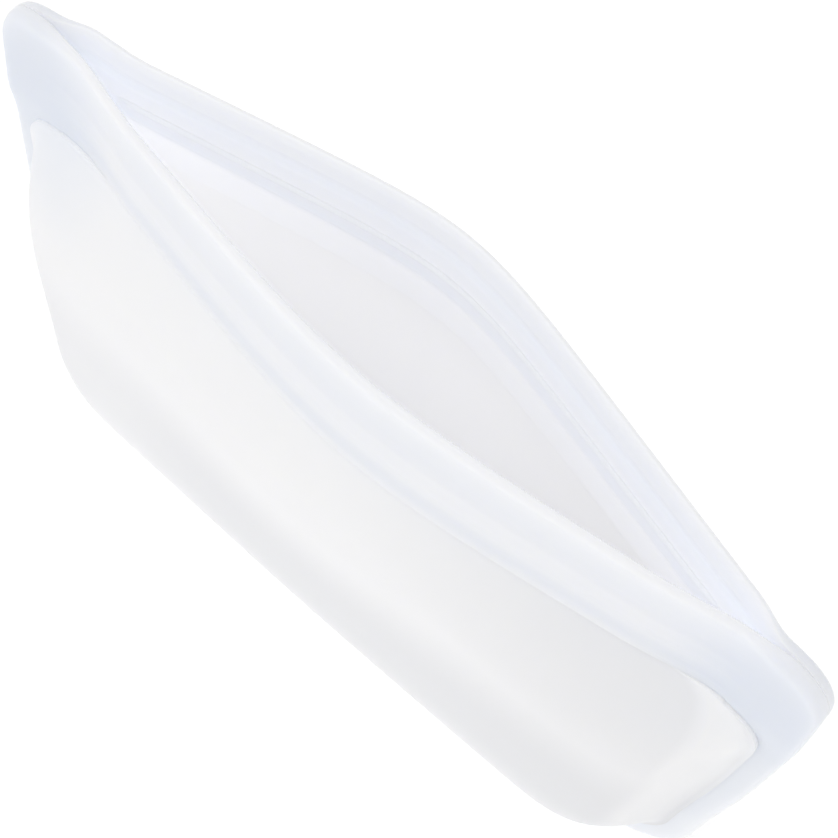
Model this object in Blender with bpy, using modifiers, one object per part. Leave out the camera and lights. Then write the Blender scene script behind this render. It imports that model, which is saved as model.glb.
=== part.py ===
"""Reusable silicone food bag with a press-to-close mouth, standing on its bottom seam, mouth open.

Metres. X runs along the mouth, +Z goes up to the mouth, the front faces -Y. The origin is in the
middle of the bottom seam's underside.
"""
import math

import bmesh
import bpy

# ---- overall size -----------------------------------------------------------------------------
HALF_BOTTOM = 0.0943        # half width across the seams near the bottom
HALF_TOP = 0.0976           # the same at the mouth, without the flare of the tabs
TAB_FLARE = 0.0014          # the tabs at the ends of the mouth stand out beyond the side seams
FLARE_FROM, FLARE_RUN = 0.090, 0.020
MOUTH_HALF = 0.0875         # middle of the mouth to the corner where both lips end
HEIGHT = 0.130              # bottom seam to the ends of the mouth
MOUTH_RISE = 0.0040         # how much higher the lips stand in the middle of the open mouth
RISE_SHARPNESS = 3.0

# ---- bonded margin ----------------------------------------------------------------------------
SEAM_WIDTH = 0.006
SEAM_THICK = 0.003
CORNER_RADIUS = 0.033       # outer radius of the two bottom corners
TAB_THICK = 0.0056          # the margin is thicker and wider beside the lips
TAB_RADIUS = 0.0095         # rounded outer top corner of each tab
SEAM_EDGE = 0.0006          # softened edges of the margin

# ---- lips -------------------------------------------------------------------------------------
BAND = 0.0268               # height of the thick band that carries the seal
LIP_THICK = 0.0020
LIP_OFFSET = 0.0023         # middle of each lip's thickness to the seam plane when closed
FRONT_BOW = 0.0112          # how far the open lip stands out in the middle of the mouth
FRONT_SHARPNESS = 4.1       # larger is more like a V, smaller is more like an arch
BACK_BOW = 0.0174
BACK_SHARPNESS = 6.0
MIDDLE_HALF = 0.0172        # half length of the middle part of a lip
FLANK_START = 0.0204        # where a flank begins; the space lets it swing flat
FLANK_END_GAP = 0.0010      # flank to corner tab
STRIPE_HEIGHT = 0.0005      # raised stripe and border on the outer face of a lip

# ---- seal -------------------------------------------------------------------------------------
SEAL_LEVEL = 0.53           # height of the seal within the band, as a share of the band
SEAL_END = 0.0050           # how far the seal stops before the end of a flank
TRACK_SLOT = 0.0024
TRACK_WALL = 0.0010
TRACK_HEIGHT = 0.0017
TRACK_WEB = 0.0004
RIB_WIDTH = 0.0016
RIB_HEIGHT = 0.0013

# ---- walls ------------------------------------------------------------------------------------
WALL_THICK = 0.0012
WALL_AT_SEAM = 0.0009       # middle of the wall's thickness to the seam plane along the seams
PILLOW = 0.0115             # swell of each wall beyond the straight line from seam to lip
PILLOW_SIDE_RUN = 0.014     # distance over which the swell builds up from the side seams
PILLOW_BOTTOM_RUN = 0.010
PILLOW_TOP_RUN = 0.018

CLEAR = 0.0003              # space left between neighbouring pieces
WALL_EDGE = 0.0010          # middle of the wall's sloping edge to its neighbours; leaves the same space

WALL_COLUMNS, WALL_ROWS = 44, 26
LIP_STATIONS = 12
ARC_STEPS = 10
EDGE_STEPS = 8

BAND_BASE = HEIGHT - BAND
INNER_RADIUS = CORNER_RADIUS - SEAM_WIDTH

for leftover in list(bpy.data.objects):
    bpy.data.objects.remove(leftover, do_unlink=True)

parts = bpy.data.collections.new("reusable_silicone_bag")
bpy.context.scene.collection.children.link(parts)


def half_width(z):
    """Half width of the bag at a height above the rounded corners, without the flare of the tabs."""
    return HALF_BOTTOM + (HALF_TOP - HALF_BOTTOM) * z / HEIGHT


def outline_x(z):
    """Outer edge of the margin on the right: the side seam, flaring out into the tab."""
    rise = max(0.0, min(1.0, (z - FLARE_FROM) / FLARE_RUN))
    return half_width(z) + TAB_FLARE * rise * rise * (3.0 - 2.0 * rise)


def bow(share, sharpness):
    """1 in the middle of the mouth, 0 at its ends, straight towards the ends and rounded between."""
    share = min(abs(share), 1.0)
    return 1.0 - math.log(math.cosh(sharpness * share)) / math.log(math.cosh(sharpness))


def swell(distance, run):
    """Smooth rise from 0 to 1 over the given run."""
    return math.sin(math.pi / 2 * max(0.0, min(1.0, distance / run)))


def material(name, colour, roughness):
    shader = bpy.data.materials.new(name)
    shader.use_nodes = True
    principled = shader.node_tree.nodes["Principled BSDF"]
    principled.inputs["Base Color"].default_value = (*colour, 1.0)
    principled.inputs["Roughness"].default_value = roughness
    shader.diffuse_color = (*colour, 1.0)
    return shader


def add_object(name, mesh_source, colour, roughness=0.45, origin=(0.0, 0.0, 0.0)):
    """Turn a bmesh into a named object whose origin sits at the given point."""
    bmesh.ops.recalc_face_normals(mesh_source, faces=mesh_source.faces)
    for vertex in mesh_source.verts:
        vertex.co.x -= origin[0]
        vertex.co.y -= origin[1]
        vertex.co.z -= origin[2]
    mesh = bpy.data.meshes.new(name)
    mesh_source.to_mesh(mesh)
    mesh_source.free()
    mesh.materials.append(material(name, colour, roughness))
    piece = bpy.data.objects.new(name, mesh)
    piece.location = origin
    parts.objects.link(piece)
    return piece


def plate(name, outline, thickness, colour):
    """Flat margin piece: an outline in the seam plane, thickened evenly to both sides."""
    shape = bmesh.new()
    corners = [shape.verts.new((x, -thickness / 2, z)) for x, z in outline]
    face = shape.faces.new(corners)
    pulled = bmesh.ops.extrude_face_region(shape, geom=[face])
    moved = [item for item in pulled["geom"] if isinstance(item, bmesh.types.BMVert)]
    bmesh.ops.translate(shape, verts=moved, vec=(0.0, thickness, 0.0))
    piece = add_object(name, shape, colour)
    soft = piece.modifiers.new("softened_edges", "BEVEL")
    soft.width = SEAM_EDGE
    soft.segments = 2
    soft.limit_method = "ANGLE"
    soft.angle_limit = math.radians(50)
    return piece


def wall(name, side, lip_bow, sharpness, colour):
    """Thin pillow shaped panel between the seams and the lower edge of its lip."""
    shape = bmesh.new()
    bmesh.ops.create_grid(shape, x_segments=WALL_COLUMNS, y_segments=WALL_ROWS, size=1.0)
    bottom, top = SEAM_WIDTH + WALL_EDGE, BAND_BASE - WALL_EDGE
    for vertex in shape.verts:
        across, up = vertex.co.x, (vertex.co.y + 1.0) / 2.0
        z = bottom + (top - bottom) * up ** 1.6
        drop = max(0.0, min(1.0, (INNER_RADIUS - (z - bottom)) / INNER_RADIUS))
        edge = half_width(z) - SEAM_WIDTH - WALL_EDGE
        edge -= INNER_RADIUS * (1.0 - math.sqrt(1.0 - drop * drop))
        x = across * edge
        share = (z - bottom) / (top - bottom)
        out = WALL_AT_SEAM + (LIP_OFFSET - WALL_AT_SEAM) * share
        out += lip_bow * share * bow(x / MOUTH_HALF, sharpness)
        out += (PILLOW * swell(edge - abs(x), PILLOW_SIDE_RUN) * swell(z - bottom, PILLOW_BOTTOM_RUN)
                * swell(top - z, PILLOW_TOP_RUN))
        vertex.co = (x, side * out, z)
    piece = add_object(name, shape, colour)
    skin = piece.modifiers.new("wall_thickness", "SOLIDIFY")
    skin.thickness = WALL_THICK
    skin.offset = 0.0
    skin.use_rim = True
    return piece


def path_point(x, side, lip_bow, sharpness):
    """Middle of a lip's thickness at x, with the direction that points out of the bag."""
    y = side * (LIP_OFFSET + lip_bow * bow(x / MOUTH_HALF, sharpness))
    slope = -side * lip_bow * sharpness * math.tanh(sharpness * x / MOUTH_HALF)
    slope /= MOUTH_HALF * math.log(math.cosh(sharpness))
    length = math.hypot(1.0, slope)
    return (x, y), (-side * slope / length, side / length)


def level_height(x, share):
    """Height of a line that runs along the band, from its lower edge (0) to the lip's rim (1)."""
    rim = HEIGHT + MOUTH_RISE * bow(x / MOUTH_HALF, RISE_SHARPNESS)
    return BAND_BASE + (rim - BAND_BASE) * share


def lip_sections(x):
    """Outer and inner line of a lip's cross-section: how far out, and where along its height."""
    half = LIP_THICK / 2
    proud = half + STRIPE_HEIGHT
    outer = [(proud, 0.0), (proud, 0.07), (half, 0.11), (half, 0.30), (proud, 0.36), (proud, 0.58),
             (half, 0.64), (half * 0.8, 0.93), (half, 0.965), (half * 0.8, 1.0)]
    inner = [(-half * 0.8, 1.0), (-half, 0.96), (-half, 0.06), (-half * 0.9, 0.0)]
    return [(out, level_height(x, share)) for out, share in outer + inner]


def seal_section(x, kind):
    """Cross-section of the seal on the inner face of a lip."""
    centre = level_height(x, SEAL_LEVEL)
    face = -LIP_THICK / 2 - CLEAR
    if kind == "rib":
        half = RIB_WIDTH / 2
        tip = face - RIB_HEIGHT
        return [(face, centre - half), (face, centre + half), (tip + half * 0.6, centre + half),
                (tip, centre + half * 0.4), (tip, centre - half * 0.4), (tip + half * 0.6, centre - half)]
    inside = TRACK_SLOT / 2
    outside = inside + TRACK_WALL
    floor, top = face - TRACK_WEB, face - TRACK_HEIGHT
    return [(face, centre - outside), (face, centre + outside), (top, centre + outside * 0.95),
            (top, centre + inside), (floor, centre + inside), (floor, centre - inside),
            (top, centre - inside), (top, centre - outside * 0.95)]


def band_piece(name, side, lip_bow, sharpness, start, end, section, colour, origin):
    """Loft one cross-section after another along the bowed line of a lip, and cap both ends."""
    shape = bmesh.new()
    rings = []
    for step in range(LIP_STATIONS + 1):
        x = start + (end - start) * step / LIP_STATIONS
        (px, py), (nx, ny) = path_point(x, side, lip_bow, sharpness)
        rings.append([shape.verts.new((px + nx * out, py + ny * out, z)) for out, z in section(x)])
    count = len(rings[0])
    for before, after in zip(rings, rings[1:]):
        for index in range(count):
            following = (index + 1) % count
            shape.faces.new((before[index], before[following], after[following], after[index]))
    shape.faces.new(rings[0])
    shape.faces.new(rings[-1])
    return add_object(name, shape, colour, 0.4, origin)


def arc(centre_x, centre_z, radius, start_deg, end_deg, steps=ARC_STEPS):
    return [(centre_x + radius * math.cos(math.radians(start_deg + (end_deg - start_deg) * i / steps)),
             centre_z + radius * math.sin(math.radians(start_deg + (end_deg - start_deg) * i / steps)))
            for i in range(steps + 1)]


def outline_run(low, high):
    """Points up the outer edge of the margin between two heights."""
    return [(outline_x(low + (high - low) * i / EDGE_STEPS), low + (high - low) * i / EDGE_STEPS)
            for i in range(EDGE_STEPS + 1)]


# ---- bonded margin: bottom with both corners, two sides, two tabs at the ends of the mouth -----
turn = CORNER_RADIUS
corner_x = half_width(turn) - turn
outer_line = arc(-corner_x, turn, turn, 180, 270) + arc(corner_x, turn, turn, 270, 360)
inner_line = arc(corner_x, turn, INNER_RADIUS, 360, 270) + arc(-corner_x, turn, INNER_RADIUS, 270, 180)
plate("bottom_seam", outer_line + inner_line, SEAM_THICK, (0.86, 0.90, 0.94))

for side_name, sign in (("left", -1), ("right", 1)):
    low, high = CORNER_RADIUS + CLEAR, BAND_BASE - CLEAR / 2
    strip = outline_run(low, high)
    strip += [(half_width(high) - SEAM_WIDTH, high), (half_width(low) - SEAM_WIDTH, low)]
    plate(side_name + "_side_seam", [(sign * x, z) for x, z in strip], SEAM_THICK, (0.86, 0.90, 0.94))
    low, high = BAND_BASE + CLEAR / 2, HEIGHT - TAB_RADIUS
    tab = outline_run(low, high)
    tab += arc(outline_x(high) - TAB_RADIUS, high, TAB_RADIUS, 0, 90, 6)[1:]
    tab += [(MOUTH_HALF, HEIGHT), (MOUTH_HALF, low)]
    plate(side_name + "_corner_tab", [(sign * x, z) for x, z in tab], TAB_THICK, (0.80, 0.86, 0.93))

# ---- walls and lips ----------------------------------------------------------------------------
LIPS = (("front", -1, FRONT_BOW, FRONT_SHARPNESS, "track"), ("back", 1, BACK_BOW, BACK_SHARPNESS, "rib"))
for lip_name, side, lip_bow, sharpness, seal in LIPS:
    wall(lip_name + "_wall", side, lip_bow, sharpness, (0.92, 0.93, 0.94))
    flank_end = MOUTH_HALF - FLANK_END_GAP
    stretches = {"left": (-flank_end, -FLANK_START), "middle": (-MIDDLE_HALF, MIDDLE_HALF),
                 "right": (FLANK_START, flank_end)}
    for stretch, (start, end) in stretches.items():
        if stretch == "middle":
            pivot = (0.0, side * (LIP_OFFSET + lip_bow), BAND_BASE)
            seal_start, seal_end = start, end
        elif stretch == "left":
            pivot = (-MOUTH_HALF, side * LIP_OFFSET, BAND_BASE)
            seal_start, seal_end = start + SEAL_END, end
        else:
            pivot = (MOUTH_HALF, side * LIP_OFFSET, BAND_BASE)
            seal_start, seal_end = start, end - SEAL_END
        band_piece(f"{lip_name}_lip_{stretch}", side, lip_bow, sharpness, start, end,
                   lip_sections, (0.84, 0.88, 0.94), pivot)
        band_piece(f"{lip_name}_seal_{seal}_{stretch}", side, lip_bow, sharpness, seal_start, seal_end,
                   lambda x, kind=seal: seal_section(x, kind), (0.82, 0.87, 0.94), pivot)
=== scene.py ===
"""Looks for the reusable silicone bag: soft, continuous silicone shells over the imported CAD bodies.

Metres, in the row frame: X along the mouth, front towards -Y, +Z up to the mouth.
"""
import math

import bmesh
import bpy
import numpy as np
from mathutils import Matrix, Vector


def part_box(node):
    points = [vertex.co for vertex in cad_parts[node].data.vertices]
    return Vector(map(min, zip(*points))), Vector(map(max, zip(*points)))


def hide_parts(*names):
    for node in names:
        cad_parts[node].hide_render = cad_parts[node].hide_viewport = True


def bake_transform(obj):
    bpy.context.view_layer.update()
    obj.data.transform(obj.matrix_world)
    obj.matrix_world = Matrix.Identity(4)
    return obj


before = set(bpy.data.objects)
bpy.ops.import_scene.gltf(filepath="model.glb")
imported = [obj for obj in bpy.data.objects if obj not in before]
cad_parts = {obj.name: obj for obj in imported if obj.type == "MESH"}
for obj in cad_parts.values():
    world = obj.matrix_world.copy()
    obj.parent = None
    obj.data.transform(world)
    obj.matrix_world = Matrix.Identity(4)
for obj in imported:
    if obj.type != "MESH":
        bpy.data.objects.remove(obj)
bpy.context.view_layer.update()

# ---- sizes read from the CAD -------------------------------------------------------------------
tab_low, tab_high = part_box("right_corner_tab")
seam_low, seam_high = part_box("bottom_seam")
lip_low, lip_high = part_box("front_lip_middle")
HEIGHT = tab_high.z
BAND_BASE = lip_low.z
MOUTH_HALF = tab_low.x
CORNER_RADIUS = seam_high.z
SEAM_HALF_THICK = seam_high.y
MOUTH_RISE = lip_high.z - HEIGHT

# ---- shape that the CAD and the looks share ----------------------------------------------------
HALF_BOTTOM, HALF_TOP = 0.0943, 0.0976
SEAM_WIDTH = 0.006
INNER_RADIUS = CORNER_RADIUS - SEAM_WIDTH
RISE_SHARPNESS = 3.0
LIP_INNER = 0.0013            # inner face of a closed lip to the seam plane
LIP_THICK = 0.0020
LIP_OFFSET = LIP_INNER + LIP_THICK / 2
WALL_THICK = 0.0012
WALL_AT_SEAM = 0.0009
SEAL_SHARE = 0.53             # level of the seal, as a share of the band's height

# bow: how far the lip stands out, centre and reach: where it leaves the seam plane,
# parting: distance over which its inner face leaves the other lip, seal_end: where its seal stops
HALVES = {
    "front": {"side": -1, "bow": 0.0113, "sharpness": 3.2, "centre": 0.0020, "reach": 0.077,
              "parting": 0.022, "seal_end": 0.068},
    "back": {"side": 1, "bow": 0.0174, "sharpness": 6.0, "centre": -0.0020, "reach": 0.0856,
             "parting": 0.012, "seal_end": 0.078},
}

# ---- softer shape that only the looks have -----------------------------------------------------
PILLOW = 0.0124               # how far the wall stands out from its edges
PILLOW_SIDE_RUN, PILLOW_BOTTOM_RUN, PILLOW_TOP_RUN = 0.014, 0.0088, 0.018
PILLOW_RATE = 1.8             # steepness of the pillow's sides
PILLOW_EASE = 0.0015          # softness of the crease where the pillow starts to rise
FULLER_LEFT = 0.05            # the pillow is deeper at the left than at the right
STEEPER_LEFT, STEEPER_RUN = 0.0028, 0.030    # and rises faster there
FILLET = 0.010                # upper corners of the pillow, beside the ends of the mouth
DRAPE_FROM = 0.060            # below this height the wall no longer shows the lip's shape
DRAPE_SHARPNESS = 4.5         # of the fuller, simpler arch lower down
SIDE_SWELL = 0.0015           # the sides swell out under the tabs
SIDE_SWELL_RUN, SIDE_SWELL_TOP, SIDE_SWELL_FADE = 0.045, 0.100, 0.028
LEFT_LIFT, LIFT_FROM, LIFT_RUN = 0.0032, 0.068, 0.016    # the mouth's left corner is pulled up
LIP_EASE = 0.004              # softness where a lip starts to leave the seam plane
LIP_PEEL = 0.004              # the inner faces start to part this far beyond the bow
LIP_BOND = 0.009              # length over which a lip turns into its tab
TAB_RADIUS = 0.0100           # upper outer corners
TAB_HALF_THICK = 0.0027
TAB_BELOW, TAB_RUN = 0.008, 0.012            # the tab's thickness starts below the band
EDGE_ROUND = 0.0022           # rounding of the outer edge
BAND_EDGE_ROUND = 0.0008      # rounding of the band's lower edge
BAND_EDGE_OUT, BAND_EDGE_IN = 0.0004, 0.0003    # how far its two faces draw together there
OPEN_BELOW, OPEN_RUN = 0.003, 0.004          # the lips come free just below the band
TAB_ROUNDING, LIP_ROUNDING = 0.97, 0.45      # share of the thickness that the outline rounds away
HALF_GAP = 0.00004            # each half stays this far from the seam plane
WALL_TUCK = 0.0007            # the wall reaches this far under its frame
RIB = (0.0, 0.0012, 0.0012)   # each bar of the seal: shift in level, half width, height
RAILS = ((-0.0019, 0.0007, 0.0019), (0.0019, 0.0007, 0.0019))
SEAL_SUNK = 0.0004            # the bars start this deep in the lip
SEAL_TAPER = 0.010            # length over which they run out at their ends
STRIPE_HEIGHT, BORDER_HEIGHT, BEAD_HEIGHT = 0.00040, 0.00035, 0.00025    # outer face of the band
STEP_HEIGHT, GROOVE_DEPTH = 0.00040, 0.00025    # its inner face

# ---- silicone and light ------------------------------------------------------------------------
# A glow is painted light: emission standing in for the daylight that comes through from behind. A tone of
# 0 shows the thin colour and 1 the thick one; some tones also carry painted shade. FROM is where a change
# starts and RUN the length that it takes.
GLOW = 0.12
BAND_GLOW = 0.03              # painted light: extra glow in the wall just under the band
BAND_GLOW_FROM, BAND_GLOW_RUN = 0.084, 0.012
UNDER_SEAL_GLOW = 0.03        # painted light: extra glow on the lips' inner faces below the seal
UNDER_SEAL_FROM, UNDER_SEAL_RUN = 0.36, 0.08    # shares of the band's height
EDGE_GLOW = 0.08              # painted highlight: extra glow along thin rounded edges
EDGE_FADE = 0.003             # distance from the edge over which that fades
INNER_GLOW = 0.174            # painted light on inner faces below the seal
RIM_INNER_GLOW = 0.240        # painted light on the inner faces of the lips
SEAL_GLOW = 0.85              # the seal's share of that
BOND_GLOW = 0.45              # share of the inner light left where the halves are bonded
LIGHT_TILT, LIGHT_ENDS = 2.4, 30.0    # painted inner light grows to the left, and towards both ends
TOP_SHARE, DEEP_LOSS, DEEP_FROM, DEEP_RUN = 1.05, 0.13, 0.098, 0.045    # painted inner light by height, with painted shade deep in the bag
# the margin pales towards its outline by MARGIN_EDGE_TONE: thinner silicone, and partly a painted
# highlight
BAND_TONE, MARGIN_TONE, MARGIN_EDGE_TONE = 0.30, 0.75, 0.45
OUTER_SHADE_LINE, INNER_SHADE_LINE = 0.22, 0.16    # painted shade: bluer, darker lines along the band
CREASE_SHADE_TONE, CREASE_FADE = 0.45, 0.003    # painted shade in the crease round the pillow
WALL_CORNER, RIM_CORNER = (0.058, 0.024), (0.064, 0.022)    # upper corners: start and run from x = 0
CORNER_FROM, CORNER_RUN = 0.082, 0.022    # and the same upwards
CORNER_TOP_LOSS, CORNER_TOP_FROM, CORNER_TOP_RUN = 0.45, 0.114, 0.014
RIGHT_CORNER_TONE = 0.3       # the wall takes less of the right corner's blue
EDGE_CLEAR = 0.6              # thin edges show little of the corners' blue: thinner silicone, and partly a painted highlight
MARGIN_INSIDE, CORNER_INSIDE, SHADE_INSIDE = 0.5, 0.15, 0.35    # share of each tone, and of the painted shade, on inner faces
SHADE_COLOUR = (0.645, 0.650, 0.662)    # painted shade: greyer wall where little light comes through
# painted shade on the wall: most low down, less at the foot and at the left end, more towards the right
LOW_SHADE_TONE, LOW_FROM, LOW_RUN = 0.80, 0.104, 0.058
FOOT_LOSS, FOOT_FROM, FOOT_RUN = 0.4, 0.010, 0.025    # less of it at the foot
LEFT_LOSS, LEFT_SHADE_TONE, LEFT_FROM, LEFT_RUN = 0.3, 0.08, 0.02, 0.05
RIGHT_SHADE_TONE, RIGHT_FROM, RIGHT_RUN = 0.45, 0.01, 0.08
HIGHLIGHT_STRIP, HIGHLIGHT_STRIP_LOSS = (0.0050, 0.0015, 0.005), 0.5    # painted highlight: paler strip by the right edge
WALL_THIN, WALL_DEEP = (0.898, 0.894, 0.900), (0.79, 0.815, 0.87)
RIM_THIN, RIM_DEEP = (0.850, 0.851, 0.865), (0.722, 0.753, 0.815)
WALL_ROUGHNESS, RIM_ROUGHNESS = 0.52, 0.46
CLOUD_SCALE, CLOUD_DEPTH = 38.0, 0.10
GRAIN_SCALE, GRAIN_ROUGHNESS = 900.0, 0.06
GRAIN_STRENGTH, GRAIN_HEIGHT = 0.12, 0.00006
SCATTER, SCATTER_REACH = 0.003, (1.0, 1.0, 1.1)
REFRACTION, SHEEN = 1.41, 0.35
SKY = 0.5
TOP_LIGHT = 2.0
FRONT_LIGHT = 0.5
FLOOR_GLOW = 0.52
SENSOR_WIDTH, LENS = 36.0, 81.623    # mm


def clamp01(value):
    return np.clip(value, 0.0, 1.0)


def smooth(value):
    value = clamp01(value)
    return value * value * (3 - 2 * value)


def swell(distance, run):
    """Rise of the pillow away from an edge: 0 at the edge, flattening to 1."""
    distance = np.maximum(distance, 0.0)
    return np.tanh(PILLOW_RATE * distance * distance / ((distance + PILLOW_EASE) * run))


def half_width(z):
    """Half width of the bag: the sides widen towards the mouth and swell a little under the tabs."""
    swelled = smooth((z - CORNER_RADIUS) / SIDE_SWELL_RUN)
    swelled = swelled * (1 - smooth((z - SIDE_SWELL_TOP) / SIDE_SWELL_FADE))
    return HALF_BOTTOM + (HALF_TOP - HALF_BOTTOM) * z / HEIGHT + SIDE_SWELL * swelled


def arch(x, sharpness, reach):
    """1 in the middle of the mouth, straight on both sides, easing softly to 0 at the reach."""
    left = reach - np.abs(x)
    soft = (left + np.sqrt(left * left + LIP_EASE ** 2)) / 2
    share = np.clip(1.0 - soft / reach, 0.0, 1.0)
    return 1.0 - np.log(np.cosh(sharpness * share)) / math.log(math.cosh(sharpness))


def bow(x, half):
    """Share of the lip's full bow at each place along the mouth."""
    return arch(x - half["centre"], half["sharpness"], half["reach"])


def wall_bow(x, z, half):
    """The wall follows its lip at the band and hangs in a fuller, simpler arch lower down."""
    drape = smooth((z - DRAPE_FROM) / (BAND_BASE - DRAPE_FROM))
    return (bow(x, half) * drape + arch(x, DRAPE_SHARPNESS, MOUTH_HALF) * (1 - drape)) * mouth_share(z)


def parted(x, half):
    """1 where the lips are free of each other, 0 where they are bonded at the ends of the mouth."""
    return smooth((half["reach"] + LIP_PEEL - np.abs(x - half["centre"])) / half["parting"])


def rim_height(x):
    """Height of the rim: highest in the middle of the mouth."""
    lift = LEFT_LIFT * smooth((-x - LIFT_FROM) / LIFT_RUN)
    return HEIGHT + MOUTH_RISE * arch(x, RISE_SHARPNESS, MOUTH_HALF) + lift


def band_share(x, z):
    """0 at the lower edge of the band, 1 at the rim."""
    return (z - BAND_BASE) / (rim_height(x) - BAND_BASE)


def mouth_share(z):
    """How fully a height follows the lip above it: 0 at the bottom seam, 1 from the band up."""
    return clamp01((z - SEAM_WIDTH) / (BAND_BASE - SEAM_WIDTH))


def bump_line(value, centre, half, soft):
    """A rounded bar round a level: 1 within half of the centre, easing to 0 over soft."""
    return smooth((half + soft - np.abs(value - centre)) / soft)


# ---- meshes ------------------------------------------------------------------------------------
def shell(name, outer, inner, cyclic):
    """Closed skin from two matching grids of points (along, across), stitched round their edges."""
    along, across = outer.shape[:2]
    points = np.concatenate([outer.reshape(-1, 3), inner.reshape(-1, 3)])
    offset = along * across
    faces = []
    steps = along if cyclic else along - 1
    for i in range(steps):
        k = (i + 1) % along
        for j in range(across - 1):
            a, b, c, d = i * across + j, k * across + j, k * across + j + 1, i * across + j + 1
            faces.append((a, b, c, d))
            faces.append((offset + d, offset + c, offset + b, offset + a))
        first, last = (i * across, k * across), (i * across + across - 1, k * across + across - 1)
        faces.append((first[1], first[0], offset + first[0], offset + first[1]))
        faces.append((last[0], last[1], offset + last[1], offset + last[0]))
    if not cyclic:
        for j in range(across - 1):
            start, end = (j, j + 1), ((along - 1) * across + j, (along - 1) * across + j + 1)
            faces.append((start[0], start[1], offset + start[1], offset + start[0]))
            faces.append((end[1], end[0], offset + end[0], offset + end[1]))
    mesh = bpy.data.meshes.new(name)
    mesh.from_pydata(points.tolist(), [], faces)
    return finish_mesh(name, mesh)


def tube(name, rings):
    """Closed bar from a row of matching rings, capped at both ends."""
    count, size = rings.shape[:2]
    faces = []
    for i in range(count - 1):
        for j in range(size):
            k = (j + 1) % size
            faces.append((i * size + j, i * size + k, (i + 1) * size + k, (i + 1) * size + j))
    faces.append(tuple(range(size)))
    faces.append(tuple((count - 1) * size + j for j in reversed(range(size))))
    mesh = bpy.data.meshes.new(name)
    mesh.from_pydata(rings.reshape(-1, 3).tolist(), [], faces)
    return finish_mesh(name, mesh)


def finish_mesh(name, mesh):
    """Smooth shading, faces turned outwards, and an object for the mesh."""
    shape = bmesh.new()
    shape.from_mesh(mesh)
    bmesh.ops.recalc_face_normals(shape, faces=shape.faces)
    shape.to_mesh(mesh)
    shape.free()
    mesh.polygons.foreach_set("use_smooth", [True] * len(mesh.polygons))
    piece = bpy.data.objects.new(name, mesh)
    bpy.context.scene.collection.objects.link(piece)
    return piece


def set_attribute(piece, name, values):
    """One number per point, for the material to read."""
    field = piece.data.attributes.new(name, "FLOAT", "POINT")
    field.data.foreach_set("value", np.asarray(values, np.float32))


# ---- the wall ----------------------------------------------------------------------------------
def pillow_edge(z, low, high):
    """Half width of the pillow panel: rounded at the bottom corners and beside the mouth's ends."""
    edge = half_width(z) - SEAM_WIDTH
    bottom = clamp01((INNER_RADIUS - (z - low)) / INNER_RADIUS)
    top = clamp01((FILLET - (high - z)) / FILLET)
    edge = edge - INNER_RADIUS * (1 - np.sqrt(1 - bottom ** 2))
    return edge - FILLET * (1 - np.sqrt(1 - top ** 2))


def wall_out(x, z, half):
    """Distance of the middle of the wall's thickness from the seam plane."""
    low, high = SEAM_WIDTH, BAND_BASE
    edge = pillow_edge(np.clip(z, low, high), low, high)
    share = mouth_share(z)
    out = WALL_AT_SEAM + (LIP_OFFSET - WALL_AT_SEAM) * share
    out = out + half["bow"] * wall_bow(x, z, half)
    side_run = PILLOW_SIDE_RUN - STEEPER_LEFT * smooth(-x / STEEPER_RUN)
    rise = swell(edge - np.abs(x), side_run) * swell(z - low, PILLOW_BOTTOM_RUN)
    depth = PILLOW * (1 - FULLER_LEFT * x / MOUTH_HALF)
    return out + depth * rise * swell(high - z, PILLOW_TOP_RUN)


def make_wall(label, half, columns=150, rows=90):
    """The wall's closed skin, its tones, painted shade and painted glow, and how far each point follows
    the lip.
    """
    v = 0.5 - 0.5 * np.cos(np.pi * np.linspace(0, 1, rows))
    z = SEAM_WIDTH - WALL_TUCK + (BAND_BASE + WALL_TUCK - SEAM_WIDTH + WALL_TUCK) * v
    u = np.sin(np.linspace(-1, 1, columns) * np.pi / 2)
    edge = pillow_edge(np.clip(z, SEAM_WIDTH, BAND_BASE), SEAM_WIDTH, BAND_BASE) + WALL_TUCK
    x = edge[:, None] * u[None, :]
    z = np.repeat(z[:, None], columns, 1)
    out = wall_out(x, z, half)
    side = half["side"]
    outer = np.stack([x, side * (out + WALL_THICK / 2), z], -1)
    inner = np.stack([x, side * np.maximum(out - WALL_THICK / 2, 0.0001), z], -1)
    piece = shell(label + "_wall_skin", outer, inner, cyclic=False)
    x, z = x.ravel(), z.ravel()
    edge = pillow_edge(np.clip(z, SEAM_WIDTH, BAND_BASE), SEAM_WIDTH, BAND_BASE)
    # thick: the silicone's own blue, with painted shade in the crease round the panel
    set_attribute(piece, "thick", np.tile(wall_tone(x, z, edge), 2))
    # glow: painted light, with painted shade deep inside the bag
    outer_glow = GLOW + BAND_GLOW * smooth((z - BAND_GLOW_FROM) / BAND_GLOW_RUN)
    deep_shade = smooth((DEEP_FROM - z) / DEEP_RUN)
    inner_glow = INNER_GLOW * inner_light(x) * (TOP_SHARE - DEEP_LOSS * deep_shade)
    set_attribute(piece, "glow", np.concatenate([outer_glow, inner_glow]))
    # low: painted shade, weaker on the inner face
    low = wall_shade(x, z, edge)
    set_attribute(piece, "low", np.concatenate([low, SHADE_INSIDE * low]))
    return piece, np.tile(wall_bow(x, z, half), 2)


def wall_tone(x, z, edge):
    """Painted shade in the crease round the panel, and the thick silicone's blue in its upper corners."""
    near = np.minimum(edge - np.abs(x), np.minimum(z - SEAM_WIDTH, BAND_BASE - z))
    crease_shade = CREASE_SHADE_TONE * np.exp(-np.maximum(near, 0) / CREASE_FADE)
    fade = np.where(x < 0, 1.0, RIGHT_CORNER_TONE)
    return np.maximum(crease_shade, fade * corner_tone(x, z, *WALL_CORNER))


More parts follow.
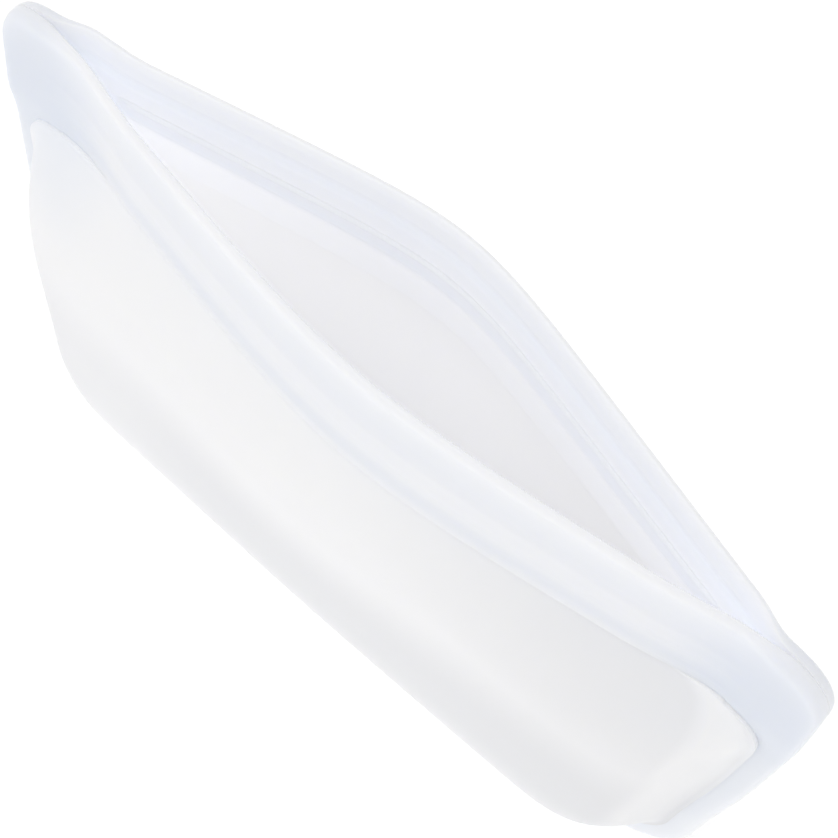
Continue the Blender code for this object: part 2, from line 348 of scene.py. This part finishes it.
def wall_shade(x, z, edge):
    """Painted shade where less light comes through: low down and towards the right, except in a strip by
    the right edge, left paler as a painted highlight.
    """
    foot = 1 - smooth((z - FOOT_FROM) / FOOT_RUN)
    low = LOW_SHADE_TONE * smooth((LOW_FROM - z) / LOW_RUN) * (1 - FOOT_LOSS * foot)
    towards_left = smooth((-x - LEFT_FROM) / LEFT_RUN)
    highlight_strip = bump_line(edge - x, *HIGHLIGHT_STRIP)
    right = smooth((x + RIGHT_FROM) / RIGHT_RUN) * (1 - highlight_strip)
    low = low * (1 - LEFT_LOSS * towards_left) * (1 - HIGHLIGHT_STRIP_LOSS * highlight_strip)
    return np.maximum(low, RIGHT_SHADE_TONE * right + LEFT_SHADE_TONE * towards_left)


# ---- the thick frame: lip along the mouth, margin down the sides and round the bottom ----------
def loop_points():
    """Matching points on the frame's inner and outer edges, once round from the left of the mouth."""
    inner, outer = [], []
    reach = half_width(HEIGHT)
    inset = half_width(BAND_BASE) - SEAM_WIDTH
    for step in range(121):
        t = -1 + 2 * step / 120
        t = math.sin(t * math.pi / 2) * 0.35 + t * 0.65
        inner.append((t * (inset - FILLET), BAND_BASE))
        x = t * (reach - TAB_RADIUS)
        outer.append((x, float(rim_height(np.array(x)))))
    for step in range(1, 15):
        turn = math.pi / 2 * step / 15
        sideways, upwards = math.sin(turn) - 1, math.cos(turn) - 1
        inner.append((inset + FILLET * sideways, BAND_BASE + FILLET * upwards))
        outer.append((reach + TAB_RADIUS * sideways, HEIGHT + TAB_RADIUS * upwards))
    for step in range(31):
        t = step / 30
        z = BAND_BASE - FILLET + (CORNER_RADIUS - BAND_BASE + FILLET) * t
        inner.append((half_width(z) - SEAM_WIDTH, z))
        z = HEIGHT - TAB_RADIUS + (CORNER_RADIUS - HEIGHT + TAB_RADIUS) * t
        outer.append((half_width(z), z))
    centre = half_width(CORNER_RADIUS) - CORNER_RADIUS
    for step in range(1, 31):
        turn = math.pi / 2 * step / 30
        for line, radius in ((inner, INNER_RADIUS), (outer, CORNER_RADIUS)):
            line.append((centre + radius * math.cos(turn), CORNER_RADIUS - radius * math.sin(turn)))
    right = list(zip(inner, outer))[121:]
    for step in range(1, 40):
        t = 1 - 2 * step / 40
        inner.append((t * centre, SEAM_WIDTH))
        outer.append((t * centre, 0.0))
    for (xi, zi), (xo, zo) in reversed(right):
        inner.append((-xi, zi))
        outer.append((-xo, zo + LEFT_LIFT * float(smooth((zo - BAND_BASE) / (HEIGHT - BAND_BASE)))))
    return np.array(inner), np.array(outer)


def across_steps():
    """Places across the frame, 0 at the pillow and 1 at the outline, close together at both edges."""
    near = [0, 0.006, 0.015, 0.03, 0.05]
    middle = list(np.linspace(0.075, 0.90, 44))
    far = [0.925, 0.945, 0.96, 0.972, 0.982, 0.99, 0.996, 1.0]
    return np.array(near + middle + far)


def outer_relief(share):
    """Relief of the band's outer face, from its lower edge to the rim."""
    stripe = bump_line(share, 0.46, 0.07, 0.10)
    border = bump_line(share, 0.05, 0.05, 0.07)
    bead = bump_line(share, 0.965, 0.012, 0.04)
    return STRIPE_HEIGHT * stripe + BORDER_HEIGHT * border + BEAD_HEIGHT * bead


def inner_relief(share):
    """Relief of the band's inner face: a low step carries the seal, under the finger flap."""
    step = smooth((share - 0.32) / 0.05) * smooth((0.76 - share) / 0.05)
    groove = bump_line(share, 0.78, 0.012, 0.04) + bump_line(share, 0.31, 0.010, 0.04)
    return STEP_HEIGHT * step - GROOVE_DEPTH * groove


def outer_tone(share):
    """Tone across the band's outer face: the band's own blue, with painted shade in a line along its
    lower border and in its upper channel, and painted highlights on its raised stripe and rim bead.
    """
    tone = BAND_TONE + OUTER_SHADE_LINE * bump_line(share, 0.16, 0.015, 0.10)
    tone = tone - 0.10 * bump_line(share, 0.46, 0.04, 0.10) + 0.10 * bump_line(share, 0.74, 0.05, 0.12)
    return tone - 0.15 * smooth((share - 0.945) / 0.03)


def inner_tone(share):
    """Tone across the band's inner face: the band's blue, darker in lines at its upper groove (painted
    shade) and low on the step, lighter on the ridge above the seal (painted highlight), and pale below
    the step.
    """
    lines = bump_line(share, 0.76, 0.02, 0.08) + bump_line(share, 0.40, 0.02, 0.05)
    tone = BAND_TONE + INNER_SHADE_LINE * lines
    return tone - 0.15 * bump_line(share, 0.58, 0.02, 0.06) - 0.30 * smooth((0.34 - share) / 0.06)


def corner_tone(x, z, start, run):
    """Silicone looks thickest just under the tabs, where both halves are bonded."""
    across = smooth((np.abs(x) - start) / run)
    top = smooth((z - CORNER_TOP_FROM) / CORNER_TOP_RUN)
    return across * smooth((z - CORNER_FROM) / CORNER_RUN) * (1 - CORNER_TOP_LOSS * top)


def inner_light(x):
    """Painted light inside the bag, standing in for daylight that soaks through unevenly: most at the
    left end, least right of the middle.
    """
    return 1.0 - LIGHT_TILT * x + LIGHT_ENDS * x * x


def make_frame(label, half):
    """Lip, tabs and margin of one half as one closed skin, and how far each point follows the lip."""
    inner_loop, outer_loop = loop_points()
    steps = across_steps()[None, :]
    place = inner_loop[:, None, :] * (1 - steps[..., None]) + outer_loop[:, None, :] * steps[..., None]
    x, z = place[..., 0], place[..., 1]
    width = np.linalg.norm(outer_loop - inner_loop, axis=1)[:, None]
    from_outline, from_pillow = (1 - steps) * width, steps * width
    share = band_share(x, z)
    opened = smooth((MOUTH_HALF - np.abs(x)) / LIP_BOND) * smooth((z - BAND_BASE + OPEN_BELOW) / OPEN_RUN)
    in_band = opened * (z > BAND_BASE - 1e-6)
    weight = bow(x, half) * mouth_share(z)
    inside = HALF_GAP + opened * parted(x, half) * LIP_INNER + half["bow"] * weight
    tab = smooth((z - BAND_BASE + TAB_BELOW) / TAB_RUN)
    thick = SEAM_HALF_THICK + (TAB_HALF_THICK - SEAM_HALF_THICK) * tab
    thick = thick * (1 - opened) + LIP_THICK * opened + outer_relief(share) * in_band
    rounded = quarter_round(from_outline / EDGE_ROUND)
    lower = quarter_round(from_pillow / BAND_EDGE_ROUND) * opened
    rounding = TAB_ROUNDING * (1 - opened) + LIP_ROUNDING * opened
    out = inside + thick * (1 - rounding * rounded) - BAND_EDGE_OUT * lower
    inward = inside + LIP_ROUNDING * thick * opened * rounded - inner_relief(share) * in_band
    inward = np.maximum(inward, HALF_GAP) + BAND_EDGE_IN * lower
    outer = np.stack([x, half["side"] * out, z], -1)
    inner = np.stack([x, half["side"] * inward, z], -1)
    piece = shell(label + "_lip_and_margin", outer, inner, cyclic=True)
    tone_frame(piece, x, z, share, opened, in_band, np.exp(-from_outline / EDGE_FADE))
    return piece, np.tile(weight.ravel(), 2)


def quarter_round(distance):
    """Fall of a round edge: 1 at the edge, 0 from one radius on."""
    return 1 - np.sqrt(1 - (1 - clamp01(distance)) ** 2)


def tone_frame(piece, x, z, share, opened, in_band, thin_edge):
    """Bluest in the bonded margin and under the tabs, paler along thin edges (thinner silicone, and
    partly a painted highlight) and on the lips, with painted shade and highlight lines on the band; its
    glows are painted light.
    """
    margin = (MARGIN_TONE - MARGIN_EDGE_TONE * thin_edge) * (1 - in_band)
    corner = corner_tone(x, z, *RIM_CORNER) * (1 - EDGE_CLEAR * thin_edge)
    outer = outer_tone(share) * in_band + margin
    inner = inner_tone(share) * in_band + MARGIN_INSIDE * margin
    outer = outer * (1 - corner) + corner
    inner = inner * (1 - CORNER_INSIDE * corner) + CORNER_INSIDE * corner
    set_attribute(piece, "thick", np.concatenate([outer.ravel(), inner.ravel()]))
    below = smooth((UNDER_SEAL_FROM - share) / UNDER_SEAL_RUN)
    under_seal = TOP_SHARE * INNER_GLOW * inner_light(x) + UNDER_SEAL_GLOW
    inner_glow = RIM_INNER_GLOW * (1 - below) + under_seal * below
    inner_glow = GLOW + (inner_glow - GLOW) * (BOND_GLOW + (1 - BOND_GLOW) * opened)
    # painted highlight: extra glow along thin edges
    edge_glow = GLOW + EDGE_GLOW * thin_edge
    set_attribute(piece, "glow", np.concatenate([edge_glow.ravel(), inner_glow.ravel()]))


# ---- seal on the inner face of a lip -----------------------------------------------------------
def make_seal(label, half, kind):
    """Rounded rib, or a pair of rounded rails, standing on the inner face of the lip."""
    stations = np.linspace(-1, 1, 90) * half["seal_end"]
    face = LIP_INNER * parted(stations, half) + half["bow"] * bow(stations, half)
    level = BAND_BASE + (rim_height(stations) - BAND_BASE) * SEAL_SHARE
    taper = smooth((half["seal_end"] + 0.0005 - np.abs(stations)) / SEAL_TAPER)
    turns = np.linspace(0, np.pi, 11)
    pieces = []
    for number, (shift, half_wide, tall) in enumerate((RIB,) if kind == "rib" else RAILS):
        z = (level + shift)[:, None] + half_wide * np.cos(turns)
        out = (face + SEAL_SUNK)[:, None] - (tall * taper + SEAL_SUNK / 2)[:, None] * np.sin(turns)
        x = np.repeat(stations[:, None], len(turns), 1)
        piece = tube(f"{label}_seal_{kind}_{number + 1}", np.stack([x, half["side"] * out, z], -1))
        set_attribute(piece, "thick", np.full(x.size, BAND_TONE))
        # painted light on the seal: a share of the lips' inner glow
        set_attribute(piece, "glow", np.full(x.size, SEAL_GLOW * RIM_INNER_GLOW))
        pieces.append((piece, bow(x.ravel(), half)))
    return pieces


# ---- silicone ----------------------------------------------------------------------------------
def attribute_value(nodes, name):
    node = nodes.new("ShaderNodeAttribute")
    node.attribute_name = name
    return node.outputs["Fac"]


def noise_value(nodes, links, scale, detail):
    """Noise fixed to the piece."""
    place = nodes.new("ShaderNodeTexCoord")
    noise = nodes.new("ShaderNodeTexNoise")
    noise.inputs["Scale"].default_value = scale
    noise.inputs["Detail"].default_value = detail
    links.new(place.outputs["Object"], noise.inputs["Vector"])
    return noise.outputs["Fac"]


def spread_value(nodes, links, value, low, high):
    """The value, 0 to 1, stretched to run from low to high."""
    spread = nodes.new("ShaderNodeMapRange")
    spread.inputs["To Min"].default_value = low
    spread.inputs["To Max"].default_value = high
    links.new(value, spread.inputs["Value"])
    return spread.outputs["Result"]


def mix_towards(nodes, links, colour, share):
    """Mix node that runs to the colour as the share goes from 0 to 1."""
    mix = nodes.new("ShaderNodeMix")
    mix.data_type = "RGBA"
    mix.inputs["B"].default_value = (*colour, 1)
    links.new(share, mix.inputs["Factor"])
    return mix


def colour_silicone(nodes, links, principled, thin_colour, thick_colour):
    """Paler where thin, bluer where thick or painted with shade, faintly clouded, greyer under painted
    shade, and lit by painted glow.
    """
    total = nodes.new("ShaderNodeMath")
    total.operation = "ADD"
    total.use_clamp = True
    cloud = noise_value(nodes, links, CLOUD_SCALE, 3.0)
    links.new(attribute_value(nodes, "thick"), total.inputs[0])
    links.new(spread_value(nodes, links, cloud, -CLOUD_DEPTH, CLOUD_DEPTH), total.inputs[1])
    tone = mix_towards(nodes, links, thick_colour, total.outputs["Value"])
    tone.inputs["A"].default_value = (*thin_colour, 1)
    shaded = mix_towards(nodes, links, SHADE_COLOUR, attribute_value(nodes, "low"))
    links.new(tone.outputs["Result"], shaded.inputs["A"])
    links.new(shaded.outputs["Result"], principled.inputs["Base Color"])
    # the glow attribute paints light in as emission
    links.new(shaded.outputs["Result"], principled.inputs["Emission Color"])
    links.new(attribute_value(nodes, "glow"), principled.inputs["Emission Strength"])


def grain_silicone(nodes, links, principled, roughness):
    """Fine satin grain, in the roughness and in the relief."""
    grain = noise_value(nodes, links, GRAIN_SCALE, 2.0)
    rough = spread_value(nodes, links, grain, roughness - GRAIN_ROUGHNESS, roughness + GRAIN_ROUGHNESS)
    links.new(rough, principled.inputs["Roughness"])
    bump = nodes.new("ShaderNodeBump")
    bump.inputs["Strength"].default_value = GRAIN_STRENGTH
    bump.inputs["Distance"].default_value = GRAIN_HEIGHT
    links.new(grain, bump.inputs["Height"])
    links.new(bump.outputs["Normal"], principled.inputs["Normal"])


def silicone(name, thin_colour, thick_colour, roughness):
    """Frosted silicone that scatters light inside, with painted shade in its colour and painted light as
    emission.
    """
    shader = bpy.data.materials.new(name)
    shader.use_nodes = True
    nodes, links = shader.node_tree.nodes, shader.node_tree.links
    principled = nodes["Principled BSDF"]
    colour_silicone(nodes, links, principled, thin_colour, thick_colour)
    grain_silicone(nodes, links, principled, roughness)
    principled.inputs["Subsurface Weight"].default_value = 1.0
    principled.inputs["Subsurface Radius"].default_value = SCATTER_REACH
    principled.inputs["Subsurface Scale"].default_value = SCATTER
    principled.inputs["IOR"].default_value = REFRACTION
    principled.inputs["Specular IOR Level"].default_value = SHEEN
    return shader


wall_silicone = silicone("silicone_wall", WALL_THIN, WALL_DEEP, WALL_ROUGHNESS)
frame_silicone = silicone("silicone_thick", RIM_THIN, RIM_DEEP, RIM_ROUGHNESS)


def bend_with_lip(piece):
    """Bakes the piece's placement into its mesh; the piece does not follow the lip."""
    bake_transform(piece)


for label, half in HALVES.items():
    wall_piece, wall_weight = make_wall(label, half)
    wall_piece.data.materials.append(wall_silicone)
    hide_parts(label + "_wall")
    bend_with_lip(wall_piece)

    frame_piece, frame_weight = make_frame(label, half)
    frame_piece.data.materials.append(frame_silicone)
    margin = ["left_side_seam", "right_side_seam", "bottom_seam", "left_corner_tab", "right_corner_tab"]
    lips = [f"{label}_lip_{stretch}" for stretch in ("left", "middle", "right")]
    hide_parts(*lips, *margin)
    bend_with_lip(frame_piece)

    kind = "track" if label == "front" else "rib"
    for seal_piece, seal_weight in make_seal(label, half, kind):
        seal_piece.data.materials.append(frame_silicone)
        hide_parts(*[f"{label}_seal_{kind}_{stretch}" for stretch in ("left", "middle", "right")])
        bend_with_lip(seal_piece)


# ---- stage, light and camera -------------------------------------------------------------------
def make_floor(reach=4.0):
    mesh = bpy.data.meshes.new("floor")
    corners = [(-reach, -reach, 0), (reach, -reach, 0), (reach, reach, 0), (-reach, reach, 0)]
    mesh.from_pydata(corners, [], [(0, 1, 2, 3)])
    floor = bpy.data.objects.new("floor", mesh)
    bpy.context.scene.collection.objects.link(floor)
    paper = bpy.data.materials.new("white_paper")
    paper.use_nodes = True
    principled = paper.node_tree.nodes["Principled BSDF"]
    principled.inputs["Base Color"].default_value = (0.8, 0.8, 0.8, 1)
    principled.inputs["Roughness"].default_value = 0.9
    principled.inputs["Emission Color"].default_value = (1, 1, 1, 1)
    principled.inputs["Emission Strength"].default_value = FLOOR_GLOW
    mesh.materials.append(paper)


def area_light(name, place, target, size, power):
    lamp = bpy.data.lights.new(name, "AREA")
    lamp.shape = "SQUARE"
    lamp.size = size
    lamp.energy = power
    holder = bpy.data.objects.new(name, lamp)
    holder.location = place
    holder.rotation_euler = (Vector(target) - Vector(place)).to_track_quat("-Z", "Y").to_euler()
    bpy.context.scene.collection.objects.link(holder)


def camera_from(azimuth, elevation, roll, target, distance, lens):
    """Camera looking at the target from the given angles in degrees, turned about its own axis."""
    az, el, turn = (math.radians(angle) for angle in (azimuth, elevation, roll))
    back = Vector((math.sin(az) * math.cos(el), -math.cos(az) * math.cos(el), math.sin(el)))
    right = (-back).cross(Vector((0, 0, 1))).normalized()
    up = right.cross(-back)
    right_turned = right * math.cos(turn) + up * math.sin(turn)
    up_turned = -right * math.sin(turn) + up * math.cos(turn)
    data = bpy.data.cameras.new("camera")
    data.lens = lens
    data.sensor_width = SENSOR_WIDTH
    data.clip_start = 0.01
    camera = bpy.data.objects.new("camera", data)
    turned = Matrix((right_turned, up_turned, back)).transposed()
    camera.matrix_world = Matrix.Translation(Vector(target) + back * distance) @ turned.to_4x4()
    bpy.context.scene.collection.objects.link(camera)
    bpy.context.scene.camera = camera


make_floor()
area_light("soft_top", (-0.12, -0.20, 0.95), (0.0, 0.0, 0.10), 0.5, TOP_LIGHT)
area_light("soft_front", (0.45, -0.85, 0.55), (0.0, 0.0, 0.09), 0.6, FRONT_LIGHT)
world = bpy.data.worlds.new("studio")
world.use_nodes = True
world.node_tree.nodes["Background"].inputs["Color"].default_value = (1, 1, 1, 1)
world.node_tree.nodes["Background"].inputs["Strength"].default_value = SKY
bpy.context.scene.world = world
bpy.context.scene.view_settings.view_transform = "Standard"
camera_from(azimuth=30.0, elevation=63.7, roll=13.1, target=(0.0083, 0.0, 0.1045),
            distance=0.3503, lens=LENS)
